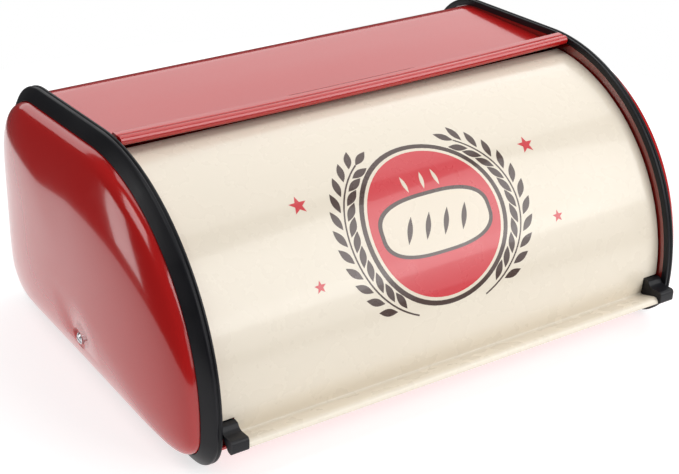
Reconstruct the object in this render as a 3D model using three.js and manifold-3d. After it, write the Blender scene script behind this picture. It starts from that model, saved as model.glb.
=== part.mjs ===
// Roll-top bread box: a sheet steel body with two domed end covers, black edge trims,
// and a rigid curved lid that swings on two pivot screws and slides in under the top panel.
// Millimetres. +X runs along the box, -Y is the front, +Z is up, the floor is z = 0.
import * as THREE from 'three';
import { mergeVertices } from 'three/addons/utils/BufferGeometryUtils.js';
import { ParametricGeometry } from 'three/addons/geometries/ParametricGeometry.js';
import Module from 'manifold-3d';

const wasm = await Module();
wasm.setup();

// ---- driving dimensions ----
const GAP = 0.3;            // clearance between touching pieces
const SHEET = 0.7;          // painted sheet steel
// end outline: a big front arc, a gently falling top, and three corner radii
const ARC_Y = -5.1;          // centre of the big front arc
const ARC_Z = 39.9;
const ARC_R = 135.5;
const TOP_FALL = 3.5;         // degrees the top edge falls towards the back
const FRONT_CORNER_R = 26;  // front bottom corner
const BACK_TOP_R = 49;      // back top corner
const BACK_LOW_R = 30;      // back bottom corner
const BACK_Y = 140.6;         // back of the outline
const CREST = 4.5;          // height of the trim's crest over the outline
const BASE_Z = CREST;       // bottom of the outline, so that the crest stands on z = 0
// stations along X, from the middle outwards
const WALL_X = 182.5;       // inner face of the end wall
const TRIM_X = 182.2;       // inner face of the trim
const TRIM_OUT_X = 192.9;   // outer face of the trim
const DOME_BASE_X = 192.8;  // where the dome starts to curve
const DOME_HEIGHT = 22.9;
const DOME_POWER = 2.4;     // fullness of the dome
const DOME_INSET = 5.0;     // dome edge inside the outline
const DOME_SHEET = 0.8;
// lid
const PIVOT_Y = -6.6;
const PIVOT_Z = 39.2;
const LID_R = 129.3;        // outer radius
const LID_HALF = 181.2;
const LID_REAR = 89;        // degrees from the front horizontal to the rear edge
const LID_CREASE = -5.9;    // degrees where the sheet bends out into the lip
const LIP_HALF = 169.2;     // the lip is narrower than the sheet
const LIP_REACH = 16.1;     // the ledge, outwards, and a little upwards
const LIP_RISE = 2.8;
const HEM_REACH = 1.7;      // the hem below it, outwards and down
const HEM_DROP = 3.7;
const ARM_X = 179.3;        // inner face of the lid arm
const ARM_SHEET = 1.5;
const ARM_FROM = 8;         // degrees
const ARM_TO = 78;
const HUB_R = 13;
const CLIP_IN = LIP_HALF + GAP;
const CLIP_OUT = 181.5;
// pivot hardware
const SCREW_R = 2.1;
const HOLE_R = 2.5;
// top panel and its raised front edge
const PANEL_FALL = 1.4;     // degrees
const WRAP_INSET = 1.2;     // outer face of the body sheet inside the outline
const EDGE_HALF = 181.5;    // half length of the raised edge
const EDGE_TOP = 181.0;
const EDGE_REAR = -6.5;
const BEAD_Y = -15.5;
const BEAD_R = 3.2;
const CLIP_FRONT = -154.6;

const RED = { color: 0xb21e1e, roughness: 0.18, metalness: 0.0 };
const CREAM = { color: 0xf2e6cb, roughness: 0.25, metalness: 0.0 };
const BLACK = { color: 0x232327, roughness: 0.5, metalness: 0.0 };
const STEEL = { color: 0xb8babd, roughness: 0.3, metalness: 1.0 };
const NYLON = { color: 0xe6e2d6, roughness: 0.6, metalness: 0.0 };

const DEG = Math.PI / 180;
const V2 = (y, z) => new THREE.Vector2(y, z);
// the profile plane (y, z) becomes world (Y, Z) and the extrusion runs along +X
const ACROSS = new THREE.Matrix4().makeBasis(
  new THREE.Vector3(0, 1, 0), new THREE.Vector3(0, 0, 1), new THREE.Vector3(1, 0, 0));

// ---- solid helpers ----
function signedVolume(geometry) {
  const p = geometry.getAttribute('position'), idx = geometry.getIndex();
  const a = new THREE.Vector3(), b = new THREE.Vector3(), c = new THREE.Vector3();
  let sum = 0;
  for (let i = 0; i < idx.count; i += 3) {
    a.fromBufferAttribute(p, idx.getX(i));
    b.fromBufferAttribute(p, idx.getX(i + 1));
    c.fromBufferAttribute(p, idx.getX(i + 2));
    sum += a.dot(b.cross(c));
  }
  return sum / 6;
}

function closed(geometry) {
  geometry.deleteAttribute('normal');
  geometry.deleteAttribute('uv');
  const g = mergeVertices(geometry, 1e-4);
  const kept = [], all = g.getIndex().array;
  for (let i = 0; i < all.length; i += 3) {
    const [a, b, c] = all.subarray(i, i + 3);
    if (a !== b && b !== c && c !== a) kept.push(a, b, c);
  }
  g.setIndex(kept);
  if (signedVolume(g) < 0) {
    const idx = g.getIndex();
    for (let i = 0; i < idx.count; i += 3) {
      const k = idx.getX(i);
      idx.setX(i, idx.getX(i + 1));
      idx.setX(i + 1, k);
    }
  }
  return g;
}

function toManifold(geometry) {
  const g = closed(geometry);
  return new wasm.Manifold(new wasm.Mesh({
    numProp: 3,
    vertProperties: Float32Array.from(g.getAttribute('position').array),
    triVerts: Uint32Array.from(g.getIndex().array),
  }));
}

function fromManifold(solid) {
  const m = solid.getMesh();
  const g = new THREE.BufferGeometry();
  g.setAttribute('position', new THREE.BufferAttribute(Float32Array.from(m.vertProperties), 3));
  g.setIndex(new THREE.BufferAttribute(Uint32Array.from(m.triVerts), 1));
  return g;
}

const union = (list) => fromManifold(list.map(toManifold).reduce((a, b) => a.add(b)));
const cut = (from, list) => fromManifold(
  list.map(toManifold).reduce((a, b) => a.subtract(b), toManifold(from)));

// ---- profile helpers ----
function arc(cy, cz, r, from, to, n) {
  return Array.from({ length: n + 1 }, (_, i) => {
    const a = (from + (to - from) * i / n) * DEG;
    return V2(cy + r * Math.cos(a), cz + r * Math.sin(a));
  });
}

// a polyline thickened to both sides
function strip(path, t) {
  const side = (s) => path.map((p, i) => {
    const d0 = i ? p.clone().sub(path[i - 1]).normalize() : null;
    const d1 = i < path.length - 1 ? path[i + 1].clone().sub(p).normalize() : null;
    const d = (d0 ?? d1).clone().add(d1 ?? d0).normalize();
    const stretch = 1 / Math.max(0.5, d.dot(d0 ?? d1));
    return V2(p.x - d.y * s * stretch * t / 2, p.y + d.x * s * stretch * t / 2);
  });
  return [...side(1), ...side(-1).reverse()];
}

function across(points, x0, x1) {
  const shape = new THREE.Shape(points);
  const g = new THREE.ExtrudeGeometry(shape, { depth: x1 - x0, bevelEnabled: false, curveSegments: 10 });
  return g.translate(0, 0, x0).applyMatrix4(ACROSS);
}

// a drill for round holes along X
function drill(y, z, r) {
  return new THREE.CylinderGeometry(r, r, 600, 20).rotateZ(Math.PI / 2).translate(0, y, z);
}

// a body of revolution about an axis parallel to X through (y, z)
function turned(profile, y, z, segments = 20) {
  const g = new THREE.LatheGeometry(profile.map(([r, x]) => V2(r, x)), segments);
  return g.rotateZ(-Math.PI / 2).translate(0, y, z);
}

// ---- the end outline, grown by off, anticlockwise in (y, z) ----
const FRONT_LOW_Z = BASE_Z + FRONT_CORNER_R;
const FRONT_LOW_Y = ARC_Y - Math.sqrt((ARC_R - FRONT_CORNER_R) ** 2 - (FRONT_LOW_Z - ARC_Z) ** 2);
const FRONT_MEET = 180 - Math.asin((FRONT_LOW_Z - ARC_Z) / (ARC_R - FRONT_CORNER_R)) / DEG;
const TOP_NY = Math.sin(TOP_FALL * DEG);
const TOP_NZ = Math.cos(TOP_FALL * DEG);
const BACK_TOP_Y = BACK_Y - BACK_TOP_R;
const BACK_TOP_Z = ARC_Z + (TOP_NY * (ARC_Y - BACK_TOP_Y) + ARC_R - BACK_TOP_R) / TOP_NZ;

// long straight runs are divided, so that rings drawn round the pivot stay round
function divided(points, longest) {
  return points.flatMap((p, i) => {
    const q = points[(i + 1) % points.length];
    const n = Math.ceil(p.distanceTo(q) / longest);
    return Array.from({ length: n }, (_, k) => p.clone().lerp(q, k / n));
  });
}

function outline(off) {
  return divided([
    ...arc(BACK_Y - BACK_LOW_R, BASE_Z + BACK_LOW_R, BACK_LOW_R + off, 270, 360, 6),
    ...arc(BACK_TOP_Y, BACK_TOP_Z, BACK_TOP_R + off, 0, 90 - TOP_FALL, 7),
    ...arc(ARC_Y, ARC_Z, ARC_R + off, 90 - TOP_FALL, FRONT_MEET, 18),
    ...arc(FRONT_LOW_Y, FRONT_LOW_Z, FRONT_CORNER_R + off, FRONT_MEET, 270, 7).slice(1),
  ], 30);
}

// a closed ring: every section point is one loop of the outline
function ringOfLoops(loops, side) {
  const n = loops[0].points.length, m = loops.length;
  const at = (u, v, target) => {
    const loop = loops[Math.round(v * m) % m];
    const p = loop.points[Math.round(u * n) % n];
    target.set(side * (loop.x ?? p.h), p.x, p.y);
  };
  return closed(new ParametricGeometry(at, n, m));
}

// ---- black edge trim: a narrow crest over the wall and a wide flange falling to the dome ----
function trimGeometry(side) {
  const section = [
    [TRIM_X, 0], [TRIM_X, 3.2], [TRIM_X + 0.5, 4.1], [TRIM_X + 1.4, CREST],
    [TRIM_X + 3.8, CREST], [TRIM_X + 5, 3.9], [TRIM_X + 7.7, 0.7],
    [TRIM_OUT_X - 0.5, -3.2], [TRIM_OUT_X, -4], [TRIM_OUT_X, -DOME_INSET + GAP],
    [TRIM_OUT_X - 3.5, -DOME_INSET + GAP], [TRIM_OUT_X - 3.5, -8],
    [WALL_X + SHEET + GAP, -8], [WALL_X + SHEET + GAP, 0],
  ];
  return ringOfLoops(section.map(([x, off]) => ({ x, points: outline(off) })), side);
}

// ---- red end wall ----
function wallGeometry(side) {
  const x = side > 0 ? WALL_X : -WALL_X - SHEET;
  return cut(across(outline(-GAP), x, x + SHEET), [drill(PIVOT_Y, PIVOT_Z, HOLE_R)]);
}

// ---- red domed end cover with a flat dimple for the pivot screw ----
const DIMPLE_R = 8.5;
const PIVOT = V2(PIVOT_Y, PIVOT_Z);

// 0 at the middle of a convex outline, 1 on its edge
function gauge(p, edge, mid) {
  let best = 0;
  edge.forEach((a, i) => {
    const b = edge[(i + 1) % edge.length];
    const n = V2(b.y - a.y, a.x - b.x);
    const reach = n.dot(a.clone().sub(mid));
    if (reach > 1e-6) best = Math.max(best, n.dot(p.clone().sub(mid)) / reach);
  });
  return Math.min(best, 1);
}

function domeSurface(inset, height) {
  const edge = outline(-inset);
  const ys = edge.map((p) => p.x), zs = edge.map((p) => p.y);
  const mid = V2((Math.min(...ys) + Math.max(...ys)) / 2, (Math.min(...zs) + Math.max(...zs)) / 2);
  const heightAt = (p) =>
    DOME_BASE_X + height * (1 - gauge(p, edge, mid) ** DOME_POWER) ** (1 / DOME_POWER);
  return { edge, heightAt };
}

const OUTER = domeSurface(DOME_INSET, DOME_HEIGHT);
const INNER = domeSurface(DOME_INSET + DOME_SHEET, DOME_HEIGHT - DOME_SHEET);
const SEAT_X = OUTER.heightAt(PIVOT) - 1.8;

function domeLoops({ edge, heightAt }, seat, startX, rings) {
  const raised = (p) => Object.assign(p, { h: heightAt(p) });
  const loops = [{ x: startX, points: edge }, { x: DOME_BASE_X, points: edge }];
  for (const s of rings) {
    loops.push({ points: edge.map((p) => raised(p.clone().sub(PIVOT).multiplyScalar(s).add(PIVOT))) });
  }
  const round = (r) => edge.map((p) => p.clone().sub(PIVOT).setLength(r).add(PIVOT));
  loops.push({ points: round(DIMPLE_R).map(raised) });
  loops.push({ x: seat, points: round(DIMPLE_R - 2.5) });
  loops.push({ x: seat, points: round(HOLE_R) });
  return loops;
}

function domeGeometry(side) {
  const start = TRIM_OUT_X - 3.5 + GAP;
  const outer = domeLoops(OUTER, SEAT_X, start, [0.99, 0.95, 0.87, 0.74, 0.55, 0.34]);
  const inner = domeLoops(INNER, SEAT_X - DOME_SHEET, start, [0.96, 0.84, 0.62, 0.36]);
  return ringOfLoops([...outer, ...inner.reverse()], side);
}

// ---- pivot hardware, fixed to the body ----
function screwGeometry(side) {
  const seat = SEAT_X + GAP;
  const head = turned([[0, 166.4], [SCREW_R, 166.4], [SCREW_R, seat], [4, seat], [4, seat + 1.2],
    [2.6, seat + 2.2], [0, seat + 2.4]], PIVOT_Y, PIVOT_Z, 24);
  const slot = new THREE.BoxGeometry(2.4, 12, 1.1).rotateX(20 * DEG)
    .translate(seat + 2.6, PIVOT_Y, PIVOT_Z);
  return mirrored(cut(head, [slot]), side);
}

// a round or hexagonal piece with the screw's clearance hole through it
function collar(r, x0, x1, side, segments = 24) {
  const blank = new THREE.CylinderGeometry(r, r, x1 - x0, segments).rotateZ(Math.PI / 2)
    .translate((x0 + x1) / 2, PIVOT_Y, PIVOT_Z);
  return mirrored(cut(blank, [drill(PIVOT_Y, PIVOT_Z, HOLE_R)]), side);
}

function mirrored(geometry, side) {
  const g = closed(geometry);
  return side > 0 ? g : closed(g.scale(-1, 1, 1));
}

// ---- red body sheet: floor, back, top panel and raised front edge ----
function wrapGeometry() {
  const inset = WRAP_INSET + SHEET / 2;
  const panelN = V2(Math.sin(PANEL_FALL * DEG), Math.cos(PANEL_FALL * DEG));
  const reach = panelN.x * BACK_TOP_Y + panelN.y * BACK_TOP_Z + BACK_TOP_R - inset;
  const panelZ = (y) => (reach - panelN.x * y) / panelN.y;
  const frontEdge = arc(FRONT_LOW_Y, FRONT_LOW_Z, FRONT_CORNER_R - inset, 216, 270, 8);
  const floorAndBack = [
    ...frontEdge,
    ...arc(BACK_Y - BACK_LOW_R, BASE_Z + BACK_LOW_R, BACK_LOW_R - inset, 270, 360, 8),
    ...arc(BACK_TOP_Y, BACK_TOP_Z, BACK_TOP_R - inset, 0, 90 - PANEL_FALL, 12),
    V2(EDGE_REAR + 3, panelZ(EDGE_REAR + 3)),
  ];
  const beadZ = EDGE_TOP - BEAD_R;
  const raised = [
    V2(EDGE_REAR + 8, panelZ(EDGE_REAR + 8)), V2(EDGE_REAR + 3, panelZ(EDGE_REAR + 3)),
    V2(EDGE_REAR + 1.4, panelZ(EDGE_REAR + 3) + 1.2), V2(EDGE_REAR, EDGE_TOP - 1.6),
    V2(EDGE_REAR - 1.2, EDGE_TOP - SHEET / 2 - 0.3), V2(BEAD_Y, EDGE_TOP - SHEET / 2 - 0.3),
  ];
  const under = [V2(BEAD_Y, beadZ - BEAD_R + SHEET / 2), V2(BEAD_Y + 5, beadZ - BEAD_R + SHEET / 2)];
  const hem = frontEdge[0];
  return union([
    across(strip(floorAndBack, SHEET), -TRIM_X, TRIM_X),
    across(strip(raised, SHEET), -EDGE_HALF, EDGE_HALF),
    across(strip(under, SHEET), -EDGE_HALF, EDGE_HALF),
    across(arc(BEAD_Y, beadZ, BEAD_R, 0, 345, 23), -EDGE_HALF, EDGE_HALF),
    across(arc(hem.x, hem.y + 0.4, 1.4, 0, 330, 11), -TRIM_X, TRIM_X),
  ]);
}

// ---- lid pieces, about the pivot axis: y and z are measured from the pivot ----
const lidPoint = (r, deg) => V2(-r * Math.cos(deg * DEG), r * Math.sin(deg * DEG));

function lipPath(r) {
  const start = lidPoint(r, LID_CREASE);
  const bend = V2(start.x - LIP_REACH, start.y + LIP_RISE);
  const end = V2(bend.x - HEM_REACH, bend.y - HEM_DROP);
  const at = (a, b, t) => a.clone().lerp(b, t);
  const inside = new THREE.QuadraticBezierCurve(start, V2(start.x, start.y - 1), V2(start.x - 1.6, start.y - 1.3));
  const nose = new THREE.QuadraticBezierCurve(at(bend, start, 0.18), bend, at(bend, end, 0.5));
  return [...inside.getPoints(4), ...nose.getPoints(5), end];
}

function lidGeometry() {
  const r = LID_R - SHEET / 2;
  const steps = 28;
  const sheet = Array.from({ length: steps }, (_, i) =>
    lidPoint(r, LID_REAR + (LID_CREASE - LID_REAR) * i / steps));
  const blank = across(strip([...sheet, ...lipPath(r)], SHEET), -LID_HALF, LID_HALF);
  // the lip is narrower than the sheet, so that a clip fits at each end
  const notches = [-1, 1].map((side) => new THREE.BoxGeometry(40, 60, 60)
    .translate(side * (LIP_HALF + 20), -LID_R - 5, -32.7));
  return cut(blank, notches);
}

function armGeometry(side) {
  const r = LID_R - SHEET - GAP - 0.1;
  const rim = Array.from({ length: 19 }, (_, i) => lidPoint(r, ARM_FROM + (ARM_TO - ARM_FROM) * i / 18));
  const inner = Array.from({ length: 19 }, (_, i) =>
    lidPoint(r - ARM_SHEET, ARM_TO + (ARM_FROM - ARM_TO) * i / 18));
  const hub = arc(0, 0, HUB_R, 90 - 20, -90 - 40, 12);
  const plate = cut(across([...rim, ...hub], ARM_X, ARM_X + ARM_SHEET), [drill(0, 0, HOLE_R)]);
  const flange = across([...rim, ...inner], ARM_X - 11, ARM_X + ARM_SHEET);
  return mirrored(union([plate, flange]), side);
}

function clipGeometry(side) {
  const at = (y, z) => V2(y - PIVOT_Y, z - PIVOT_Z);
  const rest = [
    at(-153, 24.2), at(CLIP_FRONT, 25.8), at(CLIP_FRONT, 32.4), at(-153.2, 34), at(-145.3, 33.2),
    at(-142.6, 34), at(-140.6, 36.9), at(-136.4, 37.2), at(-136.4, 35.7), at(-133.6, 35.7),
    at(-133.6, 49.3), at(-131.4, 49.3),
  ];
  const cutAway = [at(-131.4, 34), at(-138.6, 33), at(-144.8, 30), at(-149.4, 24.6)];
  // the inner wall covers the end of the lip
  const wall = [at(-131.4, 24.6), at(-135.5, 23.6), at(-142, 23.2), at(-149.4, 23.4)];
  return mirrored(union([
    across([...cutAway, ...rest], CLIP_IN, CLIP_OUT),
    across([...wall, ...rest], CLIP_IN, CLIP_IN + 2),
  ]), side);
}

// ---- assembly ----
const group = new THREE.Group();
const body = new THREE.Group();
const lid = new THREE.Group();
lid.position.set(0, PIVOT_Y, PIVOT_Z);

function add(parent, name, geometry, look) {
  const mesh = new THREE.Mesh(geometry, new THREE.MeshStandardMaterial(look));
  mesh.name = name;
  parent.add(mesh);
}

add(body, 'body_wrap', wrapGeometry(), RED);
add(lid, 'lid_sheet', lidGeometry(), CREAM);
for (const [tag, side] of [['left', -1], ['right', 1]]) {
  add(body, `end_wall_${tag}`, wallGeometry(side), RED);
  add(body, `end_trim_${tag}`, trimGeometry(side), BLACK);
  add(body, `end_dome_${tag}`, domeGeometry(side), RED);
  add(body, `pivot_screw_${tag}`, screwGeometry(side), STEEL);
  add(body, `pivot_sleeve_${tag}`,
    collar(4.5, WALL_X + SHEET + GAP, SEAT_X - DOME_SHEET - GAP, side), STEEL);
  add(body, `pivot_washer_${tag}`,
    collar(6.5, ARM_X + ARM_SHEET + GAP, WALL_X - GAP, side), NYLON);
  add(body, `pivot_nut_${tag}`, collar(4.2, ARM_X - GAP - 3.6, ARM_X - GAP, side, 6), STEEL);
  add(lid, `lid_arm_${tag}`, armGeometry(side), STEEL);
  add(lid, `lid_clip_${tag}`, clipGeometry(side), BLACK);
}

// the box is centred on the origin, front to back
body.add(lid);
body.position.set(0, -(CLIP_FRONT + BACK_Y + CREST) / 2, 0);
group.add(body);

export default group;
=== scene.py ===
"""Roll-top bread box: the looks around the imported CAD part. Metres, in the CAD frame."""
import math

import bmesh
import bpy
from mathutils import Matrix, Vector


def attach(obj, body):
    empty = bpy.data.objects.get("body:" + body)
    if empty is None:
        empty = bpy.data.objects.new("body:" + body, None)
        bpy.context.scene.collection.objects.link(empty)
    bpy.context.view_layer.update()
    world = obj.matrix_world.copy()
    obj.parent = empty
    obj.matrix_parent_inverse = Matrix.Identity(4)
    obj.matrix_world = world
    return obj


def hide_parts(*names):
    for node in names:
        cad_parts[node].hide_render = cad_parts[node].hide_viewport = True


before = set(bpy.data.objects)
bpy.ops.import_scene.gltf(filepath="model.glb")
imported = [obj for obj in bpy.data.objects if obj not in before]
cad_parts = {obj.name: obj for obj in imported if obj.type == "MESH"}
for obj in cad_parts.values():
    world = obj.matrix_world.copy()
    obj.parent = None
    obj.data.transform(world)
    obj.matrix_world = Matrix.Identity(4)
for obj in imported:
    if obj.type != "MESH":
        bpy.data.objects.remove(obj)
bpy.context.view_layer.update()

# ---- dimensions in millimetres, as in the CAD source ----
MM = 0.001
SHIFT_Y = 4.75                 # centres the box front to back
SHEET = 0.7
ARC_Y, ARC_Z, ARC_R = -5.1, 39.9, 135.5
TOP_FALL = 3.5
FRONT_CORNER_R, BACK_TOP_R, BACK_LOW_R = 26, 49, 30
BACK_Y, CREST = 140.6, 4.5
BASE_Z = CREST
WALL_X, TRIM_X, TRIM_OUT_X = 182.5, 182.2, 192.9
DOME_BASE_X, DOME_HEIGHT, DOME_POWER = 192.8, 22.9, 2.4
DOME_INSET, DOME_SHEET, GAP = 5.0, 0.8, 0.3
TRIM_LEDGE = 3.5               # the part of the trim that reaches over the dome's edge
PIVOT_Y, PIVOT_Z = -6.6, 39.2
LID_R, LID_HALF, LID_REAR, LID_CREASE = 129.3, 181.2, 89.0, -5.9
LIP_HALF, LIP_REACH, LIP_RISE, HEM_REACH, HEM_DROP = 169.2, 16.1, 2.8, 1.7, 3.7
NOTCH_Z = 36.5                 # beside the lip the sheet ends here
CLIP_IN, CLIP_OUT, CLIP_WALL = 169.5, 181.5, 2
PANEL_FALL, WRAP_INSET = 1.4, 1.2
EDGE_HALF, EDGE_TOP, EDGE_REAR = 181.5, 181.0, -6.5
BEAD_Y, BEAD_R = -15.5, 3.2
HEM_ROLL_R = 1.4               # the rolled front edge of the floor
SAG, PANEL_SAG = 2.3, 1.2      # how far the raised edge and the panel behind it hang at mid-span
SAG_REACH = 70.0               # it fades out this far behind the edge
DIMPLE_R, DIMPLE_DEPTH, SEAT_R, HOLE_R = 8.5, 1.8, 6.0, 2.5
SPAN_STEPS = 16                # stations to each side along the box


def rad(deg):
    return math.radians(deg)


# ---- profile helpers in the (y, z) plane ----
def arc(cy, cz, r, start, end, n):
    out = []
    for i in range(n + 1):
        a = rad(start + (end - start) * i / n)
        out.append((cy + r * math.cos(a), cz + r * math.sin(a)))
    return out


def dist(p, q):
    return math.hypot(p[0] - q[0], p[1] - q[1])


def divided(points, longest):
    out = []
    for i, p in enumerate(points):
        q = points[(i + 1) % len(points)]
        n = max(1, math.ceil(dist(p, q) / longest - 1e-6))
        out += [(p[0] + (q[0] - p[0]) * k / n, p[1] + (q[1] - p[1]) * k / n) for k in range(n)]
    return out


FRONT_LOW_Z = BASE_Z + FRONT_CORNER_R
FRONT_LOW_Y = ARC_Y - math.sqrt((ARC_R - FRONT_CORNER_R) ** 2 - (FRONT_LOW_Z - ARC_Z) ** 2)
FRONT_MEET = 180 - math.degrees(math.asin((FRONT_LOW_Z - ARC_Z) / (ARC_R - FRONT_CORNER_R)))
BACK_TOP_Y = BACK_Y - BACK_TOP_R
BACK_TOP_DROP = math.sin(rad(TOP_FALL)) * (ARC_Y - BACK_TOP_Y)
BACK_TOP_Z = ARC_Z + (BACK_TOP_DROP + ARC_R - BACK_TOP_R) / math.cos(rad(TOP_FALL))


def outline(off):
    """The end outline grown by off, anticlockwise in (y, z)."""
    return divided(
        arc(BACK_Y - BACK_LOW_R, BASE_Z + BACK_LOW_R, BACK_LOW_R + off, 270, 360, 24)
        + arc(BACK_TOP_Y, BACK_TOP_Z, BACK_TOP_R + off, 0, 90 - TOP_FALL, 32)
        + arc(ARC_Y, ARC_Z, ARC_R + off, 90 - TOP_FALL, FRONT_MEET, 84)
        + arc(FRONT_LOW_Y, FRONT_LOW_Z, FRONT_CORNER_R + off, FRONT_MEET, 270, 24)[1:],
        5,
    )


def thick(path, t):
    """A polyline thickened to both sides, as one closed profile."""
    def side(s):
        out = []
        for i, p in enumerate(path):
            ds = []
            for a, b in ((i - 1, i), (i, i + 1)):
                if 0 <= a and b < len(path):
                    v = Vector((path[b][0] - path[a][0], path[b][1] - path[a][1]))
                    ds.append(v.normalized())
            d = sum(ds[1:], ds[0]).normalized()
            k = s * t / 2 / max(0.5, d.dot(ds[0]))
            out.append((p[0] - d.y * k, p[1] + d.x * k))
        return out
    return side(1) + side(-1)[::-1]


def rounded(points, radii, n=6):
    """A closed profile with its corners rounded."""
    out = []
    m = len(points)
    for i, p in enumerate(points):
        r = radii[i] if isinstance(radii, (list, tuple)) else radii
        a, b = Vector(points[i - 1]), Vector(points[(i + 1) % m])
        c = Vector(p)
        da, db = (a - c), (b - c)
        k = min(r, da.length * 0.48, db.length * 0.48)
        if k < 0.02:
            out.append(tuple(c))
            continue
        s, e = c + da.normalized() * k, c + db.normalized() * k
        for j in range(n + 1):
            t = j / n
            out.append(tuple(s * (1 - t) ** 2 + c * 2 * t * (1 - t) + e * t * t))
    return out


# ---- mesh helpers ----
def finished(name, verts, faces, material, body, smooth=32, nodes=(), slot=None, bevel=0.0):
    """Makes a mesh piece from millimetres, faces it outwards, and rides it on its body."""
    mesh = bpy.data.meshes.new(name)
    mesh.from_pydata([(x * MM, (y + SHIFT_Y) * MM, z * MM) for x, y, z in verts], [], faces)
    bm = bmesh.new()
    bm.from_mesh(mesh)
    bmesh.ops.remove_doubles(bm, verts=bm.verts, dist=2e-6)
    bmesh.ops.recalc_face_normals(bm, faces=bm.faces)
    if bm.calc_volume(signed=True) < 0:
        bmesh.ops.reverse_faces(bm, faces=bm.faces)
    bm.to_mesh(mesh)
    bm.free()
    mesh.materials.append(material)
    piece = bpy.data.objects.new(name, mesh)
    bpy.context.scene.collection.objects.link(piece)
    if bevel:
        add_bevel(piece, bevel)
    mesh.shade_smooth()
    mesh.set_sharp_from_angle(angle=rad(smooth))
    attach(piece, body)
    if nodes:
        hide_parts(*nodes)


def add_bevel(piece, width, segments=3, angle=38):
    mod = piece.modifiers.new("edge", "BEVEL")
    mod.width = width * MM
    mod.segments = segments
    mod.limit_method = "ANGLE"
    mod.angle_limit = rad(angle)
    mod.harden_normals = True


def clamped(value):
    return min(max(value, 0), 1)


def sag_at(x, y, z):
    """How far the top panel and its raised edge hang down at a point."""
    share = clamped((EDGE_REAR + SAG_REACH - y) / SAG_REACH) if z > PIVOT_Z else 0
    hang = PANEL_SAG + (SAG - PANEL_SAG) * clamped((EDGE_REAR + 2 - y) / 3)
    return hang * (1 - (x / TRIM_X) ** 2) * share * share * (3 - 2 * share)


def along(half):
    """Stations from end to end of a length."""
    return [half * i / SPAN_STEPS for i in range(-SPAN_STEPS, SPAN_STEPS + 1)]


def swept(profile, stations):
    """A closed (y, z) profile carried along X, with its two caps first, hanging where it is the top panel."""
    n = len(profile)
    verts = [(x, y, z - sag_at(x, y, z)) for x in stations for y, z in profile]
    last = (len(stations) - 1) * n
    faces = [tuple(range(n)), tuple(last + i for i in range(n))[::-1]]
    for s in range(len(stations) - 1):
        for i in range(n):
            a, b = s * n + i, s * n + (i + 1) % n
            faces.append((a, b, b + n, a + n))
    return verts, faces


def torus_of(loops, side):
    """Loops of (x, y, z) points, closed round both ways."""
    n, m = len(loops[0]), len(loops)
    verts = [(side * x, y, z) for loop in loops for x, y, z in loop]
    faces = [
        (j * n + i, j * n + (i + 1) % n, (j + 1) % m * n + (i + 1) % n, (j + 1) % m * n + i)
        for j in range(m) for i in range(n)
    ]
    return verts, faces


# ---- materials ----
def new_material(name):
    mat = bpy.data.materials.new(name)
    mat.use_nodes = True
    return mat, mat.node_tree.nodes, mat.node_tree.links, mat.node_tree.nodes["Principled BSDF"]


def noise(nodes, links, coords, scale, detail=3.0, stretch=None):
    tex = nodes.new("ShaderNodeTexNoise")
    tex.inputs["Scale"].default_value = scale
    tex.inputs["Detail"].default_value = detail
    if stretch:
        mapping = nodes.new("ShaderNodeMapping")
        mapping.inputs["Scale"].default_value = stretch
        links.new(coords.outputs["Object"], mapping.inputs["Vector"])
        links.new(mapping.outputs["Vector"], tex.inputs["Vector"])
    else:
        links.new(coords.outputs["Object"], tex.inputs["Vector"])
    return tex


def ranged(nodes, links, source, low, high, start=0.3, end=0.7):
    rng = nodes.new("ShaderNodeMapRange")
    rng.inputs["From Min"].default_value = start
    rng.inputs["From Max"].default_value = end
    rng.inputs["To Min"].default_value = low
    rng.inputs["To Max"].default_value = high
    links.new(source, rng.inputs["Value"])
    return rng.outputs["Result"]


def mixed(nodes, links, factor, a, b):
    mix = nodes.new("ShaderNodeMix")
    mix.data_type = "RGBA"
    mix.inputs["A"].default_value = (*a, 1)
    mix.inputs["B"].default_value = (*b, 1)
    links.new(factor, mix.inputs["Factor"])
    return mix.outputs["Result"]


def bumped(nodes, links, height, shader, strength, distance):
    bump = nodes.new("ShaderNodeBump")
    bump.inputs["Strength"].default_value = strength
    bump.inputs["Distance"].default_value = distance
    links.new(height, bump.inputs["Height"])
    links.new(bump.outputs["Normal"], shader.inputs["Normal"])


def paint(name, low, high, rough, coat, peel=0.1):
    """Stoved enamel: a slight drift of tone, fine orange peel, and a clear gloss."""
    mat, nodes, links, shader = new_material(name)
    coords = nodes.new("ShaderNodeTexCoord")
    drift = noise(nodes, links, coords, 14.0, 4.0)
    links.new(mixed(nodes, links, drift.outputs["Fac"], low, high), shader.inputs["Base Color"])
    haze = noise(nodes, links, coords, 55.0, 5.0)
    links.new(ranged(nodes, links, haze.outputs["Fac"], rough[0], rough[1]), shader.inputs["Roughness"])
    orange = noise(nodes, links, coords, 420.0, 2.0)
    bumped(nodes, links, orange.outputs["Fac"], shader, peel, 0.00004)
    shader.inputs["Coat Weight"].default_value = coat
    shader.inputs["Coat Roughness"].default_value = 0.04
    shader.inputs["IOR"].default_value = 1.5
    return mat


def plastic(name, low, high):
    """Moulded plastic: a satin skin with a very fine grain."""
    mat, nodes, links, shader = new_material(name)
    coords = nodes.new("ShaderNodeTexCoord")
    drift = noise(nodes, links, coords, 40.0, 4.0)
    links.new(mixed(nodes, links, drift.outputs["Fac"], low, high), shader.inputs["Base Color"])
    links.new(ranged(nodes, links, drift.outputs["Fac"], 0.34, 0.48), shader.inputs["Roughness"])
    shader.inputs["Specular IOR Level"].default_value = 0.27
    grain = noise(nodes, links, coords, 2400.0, 2.0)
    bumped(nodes, links, grain.outputs["Fac"], shader, 0.16, 0.00005)
    return mat


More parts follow.
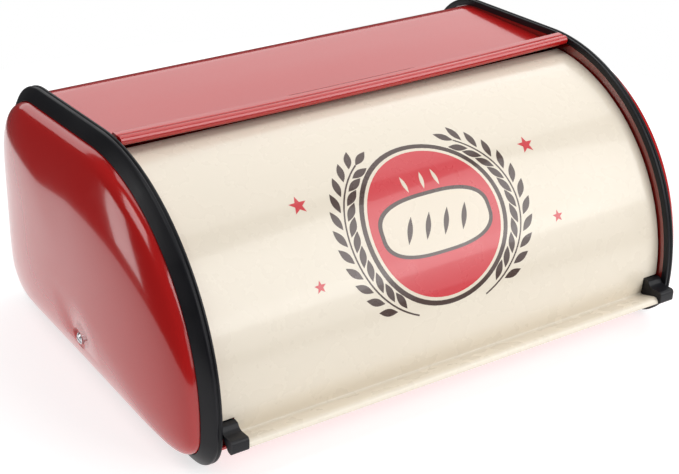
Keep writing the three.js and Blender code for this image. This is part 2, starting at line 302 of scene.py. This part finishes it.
def metal(name, low, high, rough):
    """Zinc-plated steel with drawn streaks."""
    mat, nodes, links, shader = new_material(name)
    coords = nodes.new("ShaderNodeTexCoord")
    streak = noise(nodes, links, coords, 160.0, 4.0, (1.0, 9.0, 9.0))
    links.new(mixed(nodes, links, streak.outputs["Fac"], low, high), shader.inputs["Base Color"])
    links.new(ranged(nodes, links, streak.outputs["Fac"], rough[0], rough[1]), shader.inputs["Roughness"])
    bumped(nodes, links, streak.outputs["Fac"], shader, 0.12, 0.00003)
    shader.inputs["Metallic"].default_value = 1.0
    return mat


RED = paint("red_enamel", (0.475, 0.0085, 0.0085), (0.505, 0.0105, 0.0098), (0.14, 0.19), 0.45)
CREAM = paint("cream_enamel", (0.794, 0.716, 0.592), (0.812, 0.734, 0.610), (0.26, 0.29), 0.30, 0.06)
BLACK = plastic("black_plastic", (0.005, 0.005, 0.007), (0.009, 0.009, 0.012))
# The end wall's inside face: the same red enamel as the body, with painted shade (its base colour made darker
# than the outside red), and its coat's IOR raised for a stronger reflection.
SHADED_RED_WALL = paint("red_enamel_inside_painted_shade", (0.22, 0.012, 0.009), (0.26, 0.015, 0.011), (0.10, 0.16), 1.0)
SHADED_RED_WALL.node_tree.nodes["Principled BSDF"].inputs["Coat IOR"].default_value = 1.9
STEEL = metal("zinc_plated_steel", (0.58, 0.58, 0.60), (0.74, 0.74, 0.76), (0.22, 0.36))
NYLON = plastic("nylon", (0.72, 0.70, 0.62), (0.80, 0.78, 0.71))
PRINT_RED = paint("print_red", (0.60, 0.040, 0.052), (0.66, 0.052, 0.064), (0.24, 0.32), 0.30, 0.06)
PRINT_BROWN = paint("print_brown", (0.052, 0.026, 0.020), (0.070, 0.036, 0.028), (0.24, 0.32), 0.30, 0.06)
PRINT_CREAM = paint("print_cream", (0.77, 0.68, 0.55), (0.81, 0.72, 0.59), (0.24, 0.32), 0.30, 0.06)


# ---- camera ----
CAMERA_PLACE = (-0.55653, -0.81108, 0.57529)
AZIMUTH, ELEVATION, ROLL = 34.128, 27.802, 1.667
SENSOR, LENS = 36, 81.82


def make_camera():
    azimuth, elevation, roll = rad(AZIMUTH), rad(ELEVATION), rad(ROLL)
    flat = math.cos(elevation)
    ahead = Vector((math.sin(azimuth) * flat, math.cos(azimuth) * flat, -math.sin(elevation)))
    right = Vector((math.cos(azimuth), -math.sin(azimuth), 0))
    up = right.cross(ahead)
    right, up = (right * math.cos(roll) + up * math.sin(roll), up * math.cos(roll) - right * math.sin(roll))
    data = bpy.data.cameras.new("camera")
    data.sensor_width = SENSOR
    data.lens = LENS
    data.clip_start, data.clip_end = 0.01, 50
    cam = bpy.data.objects.new("camera", data)
    bpy.context.scene.collection.objects.link(cam)
    turn = Matrix((right, up, -ahead)).transposed().to_4x4()
    cam.matrix_world = Matrix.Translation(CAMERA_PLACE) @ turn
    bpy.context.scene.camera = cam


make_camera()


# ---- end pieces ----
def trim_section():
    """The trim's profile: (x, how far outside the end outline)."""
    x, out, ledge = TRIM_X, TRIM_OUT_X, TRIM_OUT_X - TRIM_LEDGE
    tuck, lap, foot = WALL_X + SHEET + GAP, -DOME_INSET + GAP, -8
    points = [
        (x, -0.2), (x, 4.4), (x + 1.5, CREST), (x + 2.1, 3.7), (x + 2.7, 3.7), (x + 3.3, CREST),
        (x + 4.9, 4.3), (x + 7.7, 0.8), (out - 0.6, -3.0), (out, -4.1),
        (out, lap), (ledge, lap), (ledge, foot), (tuck, foot), (tuck, -0.2),
    ]
    radii = [0.3, 1.1, 0.4, 0.3, 0.3, 0.4, 0.9, 2.4, 0.8, 0.3, 0.3, 0.2, 0.4, 0.4, 0.2]
    return rounded(points, radii, 4)


POLAR_STEPS = 1440          # directions in the dome's table of reaches
EASE_PASSES, EASE_REACH = 3, 20
EDGE_BLEND = 8              # how closely the exact outline keeps to the dome's edge


def polar_reach(pts, mid):
    """How far the outline is from its middle, in each of POLAR_STEPS directions."""
    offsets = [(y - mid[0], z - mid[1]) for y, z in divided(pts, 1.0)]
    polar = sorted((math.atan2(dz, dy), math.hypot(dy, dz)) for dy, dz in offsets)
    table, k = [], 0
    for i in range(POLAR_STEPS):
        a = -math.pi + 2 * math.pi * i / POLAR_STEPS
        while k < len(polar) and polar[k][0] < a:
            k += 1
        (a0, r0), (a1, r1) = polar[k - 1], polar[k % len(polar)]
        a0 -= 2 * math.pi if k == 0 else 0
        a1 += 2 * math.pi if k == len(polar) else 0
        t = (a - a0) / (a1 - a0)
        # the chord's own distance, so that straight edges stay straight
        x0, y0, x1, y1 = r0 * math.cos(a0), r0 * math.sin(a0), r1 * math.cos(a1), r1 * math.sin(a1)
        table.append(math.hypot(x0 + (x1 - x0) * t, y0 + (y1 - y0) * t))
    return table


def dome_field(inset, height):
    """The dome's edge, and a function for its x at a point in (y, z)."""
    pts = outline(-inset)
    ys, zs = [p[0] for p in pts], [p[1] for p in pts]
    mid = ((min(ys) + max(ys)) / 2, (min(zs) + max(zs)) / 2)
    table = polar_reach(pts, mid)
    eased, window = table, range(-EASE_REACH, EASE_REACH + 1)
    for _ in range(EASE_PASSES):      # eases the corners' sudden change of curvature
        eased = [sum(eased[(i + j) % POLAR_STEPS] for j in window) / len(window) for i in range(POLAR_STEPS)]

    def height_at(p):
        dy, dz = p[0] - mid[0], p[1] - mid[1]
        u = (math.atan2(dz, dy) + math.pi) / (2 * math.pi) * POLAR_STEPS
        i, j, k = int(u) % POLAR_STEPS, (int(u) + 1) % POLAR_STEPS, u - int(u)
        exact = table[i] + (table[j] - table[i]) * k
        away = math.hypot(dy, dz)
        near_edge = min(away / exact, 1.0) ** EDGE_BLEND
        reach = exact * near_edge + (eased[i] + (eased[j] - eased[i]) * k) * (1 - near_edge)
        g = min(away / reach, 1.0)
        return DOME_BASE_X + height * (1 - g ** DOME_POWER) ** (1 / DOME_POWER)
    return pts, height_at


INNERMOST_RING = 81         # degrees round the dome's rise, from its edge
DIMPLE_SLOPE = ((7.9, 0.12), (7.2, 0.5), (6.5, 0.88))     # radius, and share of the way to the seat


def dome_loops(field, seat, start, rings):
    """Loops over one face of the dome, from its edge at x = start to the screw hole."""
    pts, height_at = field

    def scaled(s):
        return [(PIVOT_Y + (y - PIVOT_Y) * s, PIVOT_Z + (z - PIVOT_Z) * s) for y, z in pts]

    def circle(r):
        out = []
        for y, z in pts:
            k = r / math.hypot(y - PIVOT_Y, z - PIVOT_Z)
            out.append((PIVOT_Y + (y - PIVOT_Y) * k, PIVOT_Z + (z - PIVOT_Z) * k))
        return out

    loops = [[(x, y, z) for y, z in pts] for x in (start, DOME_BASE_X)]
    for i in range(1, rings):
        s = math.cos(rad(INNERMOST_RING) * i / rings) ** (2 / DOME_POWER)
        loops.append([(height_at(p), *p) for p in scaled(s)])
    loops.append([(height_at(p), *p) for p in circle(DIMPLE_R)])
    for r, share in DIMPLE_SLOPE:
        loops.append([(height_at(q) + (seat - height_at(q)) * share, *q) for q in circle(r)])
    loops += [[(seat, *q) for q in circle(r)] for r in (SEAT_R, HOLE_R)]
    return loops


OUTER = dome_field(DOME_INSET, DOME_HEIGHT)
INNER = dome_field(DOME_INSET + DOME_SHEET, DOME_HEIGHT - DOME_SHEET)
SEAT_X = OUTER[1]((PIVOT_Y, PIVOT_Z)) - DIMPLE_DEPTH
DOME_START_X = TRIM_OUT_X - TRIM_LEDGE + GAP
SIDES = (("left", -1), ("right", 1))

for tag, side in SIDES:
    outside = dome_loops(OUTER, SEAT_X, DOME_START_X, 44)
    inside = dome_loops(INNER, SEAT_X - DOME_SHEET, DOME_START_X, 16)
    loops = outside + inside[::-1]
    finished(f"dome_shell_{tag}", *torus_of(loops, side), RED, "body", 40, [f"end_dome_{tag}"], "red_paint")
    ring = [[(x, y, z) for y, z in outline(off)] for x, off in trim_section()]
    finished(f"edge_trim_{tag}", *torus_of(ring, side), BLACK, "body", 45, [f"end_trim_{tag}"], "black_plastic")


# ---- body sheet ----
def panel_line():
    """The body sheet's inset from the outline, and the top panel's height at y."""
    inset = WRAP_INSET + SHEET / 2
    ny, nz = math.sin(rad(PANEL_FALL)), math.cos(rad(PANEL_FALL))
    reach = ny * BACK_TOP_Y + nz * BACK_TOP_Z + BACK_TOP_R - inset
    return inset, lambda y: (reach - ny * y) / nz


def body_pieces():
    inset, panel_z = panel_line()
    front = arc(FRONT_LOW_Y, FRONT_LOW_Z, FRONT_CORNER_R - inset, 216, 270, 14)
    sheet = (
        front
        + arc(BACK_Y - BACK_LOW_R, BASE_Z + BACK_LOW_R, BACK_LOW_R - inset, 270, 360, 18)
        + arc(BACK_TOP_Y, BACK_TOP_Z, BACK_TOP_R - inset, 0, 90 - PANEL_FALL, 28)
        + [(y, panel_z(y)) for y in range(80, int(EDGE_REAR) + 3, -5)]
        + [(EDGE_REAR + 3, panel_z(EDGE_REAR + 3))]
    )
    full = along(TRIM_X)
    finished("body_shell", *swept(thick(sheet, SHEET), full), RED, "body", 32, ["body_wrap"], "red_paint")
    hem = arc(front[0][0], front[0][1] + 0.4, HEM_ROLL_R, 0, 345, 23)
    finished("body_hem", *swept(hem, full), RED, "body", 60, (), "red_paint")
    z0 = panel_z(EDGE_REAR + 3)
    top = EDGE_TOP - SHEET / 2 - 0.3
    raised = [
        (EDGE_REAR + 8, panel_z(EDGE_REAR + 8)), (EDGE_REAR + 3.4, z0), (EDGE_REAR + 2.2, z0 + 0.3),
        (EDGE_REAR + 1.2, z0 + 1.3), (EDGE_REAR + 0.3, top - 1.2), (EDGE_REAR - 0.6, top - 0.25),
        (EDGE_REAR - 1.8, top), (BEAD_Y + 3.6, top), (BEAD_Y + 3.0, top - 0.5), (BEAD_Y + 2.2, top - 0.1),
        (BEAD_Y, top),
    ]
    between = along(EDGE_HALF)
    finished("front_band", *swept(thick(raised, SHEET), between), RED, "body", 32, (), "red_paint")
    bead = arc(BEAD_Y, EDGE_TOP - BEAD_R, BEAD_R, 0, 352.5, 47)
    finished("front_bead", *swept(bead, between), RED, "body", 60, (), "red_paint", bevel=0.5)


body_pieces()


# ---- lid ----
def lid_point(r, deg):
    """A point about the pivot, in degrees up from straight ahead."""
    return PIVOT_Y - r * math.cos(rad(deg)), PIVOT_Z + r * math.sin(rad(deg))


def curve(a, b, c, n):
    """A quadratic Bezier curve from a to c."""
    return [tuple(a * (1 - t) ** 2 + b * 2 * t * (1 - t) + c * t * t) for t in (i / n for i in range(n + 1))]


def lid_path():
    """The middle of the lid's sheet, from its rear edge over to the lip's hem."""
    r = LID_R - SHEET / 2
    steps = 110
    sheet = [lid_point(r, LID_REAR + (LID_CREASE - LID_REAR) * i / steps) for i in range(steps)]
    start = Vector(lid_point(r, LID_CREASE))
    bend = start + Vector((-LIP_REACH, LIP_RISE))
    end = bend + Vector((-HEM_REACH, -HEM_DROP))
    lip = curve(start, start + Vector((0, -1.2)), start + Vector((-2.4, -1.4)), 10)
    lip += curve(bend.lerp(start, 0.18), bend, bend.lerp(end, 0.5), 10)
    return sheet + lip + [tuple(end)]


def lid_shell():
    path = lid_path()
    xs = [-LID_HALF, -LIP_HALF, LIP_HALF, LID_HALF]
    verts = [(x, y, z) for y, z in path for x in xs]
    faces = []
    for j in range(len(path) - 1):
        for i in range(3):
            if i == 1 or path[j + 1][1] >= NOTCH_Z:      # the lip is only in the middle strip
                a = j * 4 + i
                faces.append((a, a + 1, a + 5, a + 4))
    mesh = bpy.data.meshes.new("lid_shell")
    mesh.from_pydata([(x * MM, (y + SHIFT_Y) * MM, z * MM) for x, y, z in verts], [], faces)
    bm = bmesh.new()
    bm.from_mesh(mesh)
    loose = [v for v in bm.verts if not v.link_faces]
    bmesh.ops.delete(bm, geom=loose, context="VERTS")
    bmesh.ops.recalc_face_normals(bm, faces=bm.faces)
    bm.faces.ensure_lookup_table()
    f = bm.faces[len(bm.faces) // 3]
    middle = f.calc_center_median()
    axis = Vector((middle.x, (PIVOT_Y + SHIFT_Y) * MM, PIVOT_Z * MM))
    if f.normal.dot(middle - axis) < 0:
        bmesh.ops.reverse_faces(bm, faces=bm.faces)
    bm.to_mesh(mesh)
    bm.free()
    mesh.materials.append(CREAM)
    piece = bpy.data.objects.new("lid_shell", mesh)
    bpy.context.scene.collection.objects.link(piece)
    mesh.shade_smooth()
    mod = piece.modifiers.new("sheet", "SOLIDIFY")
    mod.thickness = SHEET * MM
    mod.offset = 0.0
    mod.use_even_offset = True
    add_bevel(piece, 0.16, 2, 60)
    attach(piece, "lid")
    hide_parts("lid_sheet")


lid_shell()


# ---- printed emblem: a loaf in a round medallion between two ears of wheat ----
EMBLEM_X, EMBLEM_V = -2.0, 84.0     # its middle: along the box, and up the lid's arc in millimetres
EMBLEM_SCALE = 1.12
INK = 0.05                          # one layer of print
STRIP = 2.0                         # height of the strips that bend round the lid


def circle_of(r, n):
    angles = [2 * math.pi * i / n for i in range(n)]
    return [(r * math.cos(a), r * math.sin(a)) for a in angles]


def ink(name, polygons, layer, material):
    """Closed flat shapes in (x, v), cut into strips and wrapped round the lid as a thin film."""
    bm = bmesh.new()
    for poly in polygons:
        bm.faces.new([bm.verts.new((x, v, 0)) for x, v in poly])
    bmesh.ops.recalc_face_normals(bm, faces=bm.faces)
    for f in bm.faces:
        if f.normal.z < 0:
            f.normal_flip()
    bmesh.ops.triangulate(bm, faces=bm.faces)
    low = min(v.co.y for v in bm.verts)
    high = max(v.co.y for v in bm.verts)
    k = math.ceil(low / STRIP)
    while k * STRIP < high:
        geom = bm.verts[:] + bm.edges[:] + bm.faces[:]
        bmesh.ops.bisect_plane(bm, geom=geom, dist=1e-5, plane_co=(0, k * STRIP, 0), plane_no=(0, 1, 0))
        k += 1
    made = bmesh.ops.extrude_face_region(bm, geom=bm.faces[:])
    for v in (g for g in made["geom"] if isinstance(g, bmesh.types.BMVert)):
        v.co.z = 1.0
    bmesh.ops.recalc_face_normals(bm, faces=bm.faces)
    for v in bm.verts:
        x, arc_v, top = v.co
        r = LID_R + (INK * layer if top > 0.5 else 0.01)
        y, z = lid_point(r, math.degrees(arc_v / LID_R))
        v.co = (x * MM, (y + SHIFT_Y) * MM, z * MM)
    mesh = bpy.data.meshes.new(name)
    bm.to_mesh(mesh)
    bm.free()
    mesh.materials.append(material)
    mesh.shade_smooth()
    mesh.set_sharp_from_angle(angle=rad(30))
    piece = bpy.data.objects.new(name, mesh)
    bpy.context.scene.collection.objects.link(piece)
    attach(piece, "lid")


def placed(points, dx=0.0, dv=0.0, turn=0.0, flip=1):
    """Points in the emblem's own frame, turned and moved, as (x, v) on the lid."""
    c, s = math.cos(rad(turn)), math.sin(rad(turn))
    k = EMBLEM_SCALE
    return [
        (EMBLEM_X + flip * k * (x * c - y * s + dx), EMBLEM_V + k * (x * s + y * c + dv))
        for x, y in points
    ]


def leaf(length, width, n=12):
    """A grain of wheat: pointed at both ends."""
    side = [(width / 2 * math.sin(math.pi * i / n), length * i / n) for i in range(n + 1)]
    return side + [(-x, y) for x, y in side[-2:0:-1]]


def star(r, inner):
    """A star of five points, one of them upwards."""
    spokes = [(inner if i % 2 else r, rad(90 + 36 * i)) for i in range(10)]
    return [(k * math.cos(a), k * math.sin(a)) for k, a in spokes]


def loaf_outline():
    """A long rounded loaf, a little higher above its middle than below."""
    pts = []
    for i in range(72):
        a = 2 * math.pi * i / 72
        c, s = math.cos(a), math.sin(a)
        x = math.copysign(37 * abs(c) ** 0.72, c)
        y = math.copysign(15.5 * abs(s) ** 0.8, s) + (2.5 if s > 0 else 0)
        pts.append((x, y))
    return pts


def on_ear(deg, out=0.0):
    """A point on the wheat's stem, beside the medallion."""
    return (60 + out) * math.cos(rad(deg)), (56 + out) * math.sin(rad(deg))


def ear_stem():
    """The wheat's stem, one millimetre wide."""
    angles = [-66 + 4 * i for i in range(31)]
    return [on_ear(a, 0.5) for a in angles] + [on_ear(a, -0.5) for a in angles[::-1]]


def emblem():
    ink("emblem_ring", [placed(circle_of(50, 72))], 1, PRINT_BROWN)
    ink("emblem_band", [placed(circle_of(47, 72))], 2, PRINT_CREAM)
    ink("emblem_disc", [placed(circle_of(45, 72))], 3, PRINT_RED)
    edge = [(x * 1.07, y * 1.13) for x, y in loaf_outline()]
    ink("emblem_loaf_edge", [placed(edge, 0, -2)], 4, PRINT_BROWN)
    ink("emblem_loaf", [placed(loaf_outline(), 0, -2)], 5, PRINT_CREAM)
    cuts = [placed(leaf(17, 3.6), dx, -9.5, -24) for dx in (-23, -10, 3, 16)]
    ink("emblem_loaf_cuts", cuts, 6, PRINT_BROWN)
    steam = [placed(leaf(11, 2.6), dx, 20, 8 * k) for k, dx in ((1, -11), (-1, 0), (1, 11))]
    ink("emblem_steam", steam, 4, PRINT_CREAM)
    for tag, flip in SIDES:
        ears = [placed(ear_stem(), 0, 0, 0, flip), placed(leaf(13, 4.6), *on_ear(54), 54, flip)]
        for i in range(11):
            for k in (-1, 1):
                a = -56 + 10 * i + 5 * (k > 0)
                x, y = on_ear(a, 2.0 * k)
                ears.append(placed(leaf(13, 4.6), x, y, a - 27 * k, flip))
        ink(f"emblem_wheat_{tag}", ears, 1, PRINT_BROWN)
        stars = [placed(star(6, 2.5), 82, 30, 0, flip), placed(star(4, 1.7), 86, -18, 0, flip)]
        ink(f"emblem_stars_{tag}", stars, 1, PRINT_RED)


emblem()


# ---- clips ----
def clip(tag, side):
    """A grip on the lid's lower corner. Its underside is cut away, apart from its inner wall."""
    rest = [
        (-153, 24.2), (-154.6, 25.8), (-154.6, 32.4), (-153.2, 34), (-145.3, 33.2), (-142.6, 34),
        (-140.6, 36.9), (-136.4, 37.2), (-136.4, 35.7), (-133.6, 35.7), (-133.6, 49.3), (-131.4, 49.3),
    ]
    cut_away = rounded([(-131.4, 34), (-138.6, 33), (-144.8, 30), (-149.4, 24.6)] + rest, 0.9, 4)
    # the inner wall covers the end of the lip
    wall = rounded([(-131.4, 24.6), (-135.5, 23.6), (-142, 23.2), (-149.4, 23.4)] + rest, 0.9, 4)
    n = len(wall)
    inner, middle, outer = side * CLIP_IN, side * (CLIP_IN + CLIP_WALL), side * CLIP_OUT
    verts, faces = swept(cut_away, [middle, outer])
    faces = faces[1:]      # the near cap gives way to the step between the two profiles
    verts += [(inner, y, z) for y, z in wall] + [(middle, y, z) for y, z in wall]
    a, b = 2 * n, 3 * n
    faces.append(tuple(range(a, a + n)))
    for i in range(n):
        j = (i + 1) % n
        faces += [(a + i, a + j, b + j, b + i), (b + i, b + j, j, i)]
    nodes = [f"lid_clip_{tag}"]
    finished(f"grip_{tag}", verts, faces, BLACK, "lid", 40, nodes, "black_plastic", bevel=0.7)


for tag, side in SIDES:
    clip(tag, side)


# ---- CAD nodes that stay: their materials and the widths of their bevels ----
KEPT = {
    "end_wall": (SHADED_RED_WALL, 0.0), "pivot_screw": (STEEL, 0.25), "pivot_sleeve": (STEEL, 0.2),
    "pivot_washer": (NYLON, 0.2), "pivot_nut": (STEEL, 0.3), "lid_arm": (STEEL, 0.2),
}
for base, (material, width) in KEPT.items():
    for tag, _ in SIDES:
        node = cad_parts[f"{base}_{tag}"]
        node.data.materials.clear()
        node.data.materials.append(material)
        if width:
            add_bevel(node, width, 2, 35)


# ---- floor, lights and surroundings ----
FLOOR_R, FLOOR_Z = 0.56, -0.0002
FLOOR_GLOW = 0.70        # keeps the floor white in the box's shadow


def floor():
    mesh = bpy.data.meshes.new("floor")
    rim = [(x, y, FLOOR_Z) for x, y in circle_of(FLOOR_R, 96)]
    mesh.from_pydata(rim, [], [tuple(range(len(rim)))])
    mat, _, _, shader = new_material("floor")
    shader.inputs["Base Color"].default_value = (0.50, 0.50, 0.50, 1)
    shader.inputs["Roughness"].default_value = 0.8
    shader.inputs["Emission Color"].default_value = (1, 1, 1, 1)
    shader.inputs["Emission Strength"].default_value = FLOOR_GLOW
    mesh.materials.append(mat)
    piece = bpy.data.objects.new("floor", mesh)
    bpy.context.scene.collection.objects.link(piece)


def softbox(name, place, target, width, height, radiance):
    """A rectangular softbox of even brightness."""
    data = bpy.data.lights.new(name, "AREA")
    data.shape = "RECTANGLE"
    data.size, data.size_y = width, height
    data.energy = radiance * math.pi * width * height
    lamp = bpy.data.objects.new(name, data)
    bpy.context.scene.collection.objects.link(lamp)
    lamp.location = place
    lamp.rotation_mode = "QUATERNION"
    lamp.rotation_quaternion = (Vector(target) - Vector(place)).to_track_quat("-Z", "Y")


def surroundings(dim):
    """White behind the object as the camera sees it, and dim where it only lights the object."""
    world = bpy.data.worlds.new("studio")
    bpy.context.scene.world = world
    world.use_nodes = True
    nodes, links = world.node_tree.nodes, world.node_tree.links
    back = nodes["Background"]
    back.inputs["Color"].default_value = (1, 1, 1, 1)
    path = nodes.new("ShaderNodeLightPath")
    level = nodes.new("ShaderNodeMapRange")
    level.inputs["To Min"].default_value = dim
    level.inputs["To Max"].default_value = 1.0
    links.new(path.outputs["Is Camera Ray"], level.inputs["Value"])
    links.new(level.outputs["Result"], back.inputs["Strength"])
    bpy.context.scene.view_settings.view_transform = "Standard"


floor()
surroundings(0.07)
softbox("left_strip", (-1.07, 0.45, 0.25), (-0.2, -0.05, 0.12), 0.30, 0.66, 3.3)
softbox("left_high", (-0.80, -0.05, 1.50), (-0.2, 0, 0.1), 0.8, 0.8, 3.6)
softbox("back_wall", (0.85, 1.5, 0.95), (0, 0, 0.15), 3.5, 1.15, 1.18)
softbox("overhead", (0.75, 0.3, 1.35), (0, 0, 0.1), 1.4, 1.4, 1.8)
softbox("front_right", (0.95, -1.45, 1.15), (0, 0, 0.1), 1.5, 1.5, 3.7)
softbox("front_fill", (0.75, -1.9, 0.42), (0, 0, 0.08), 1.5, 0.75, 1.5)
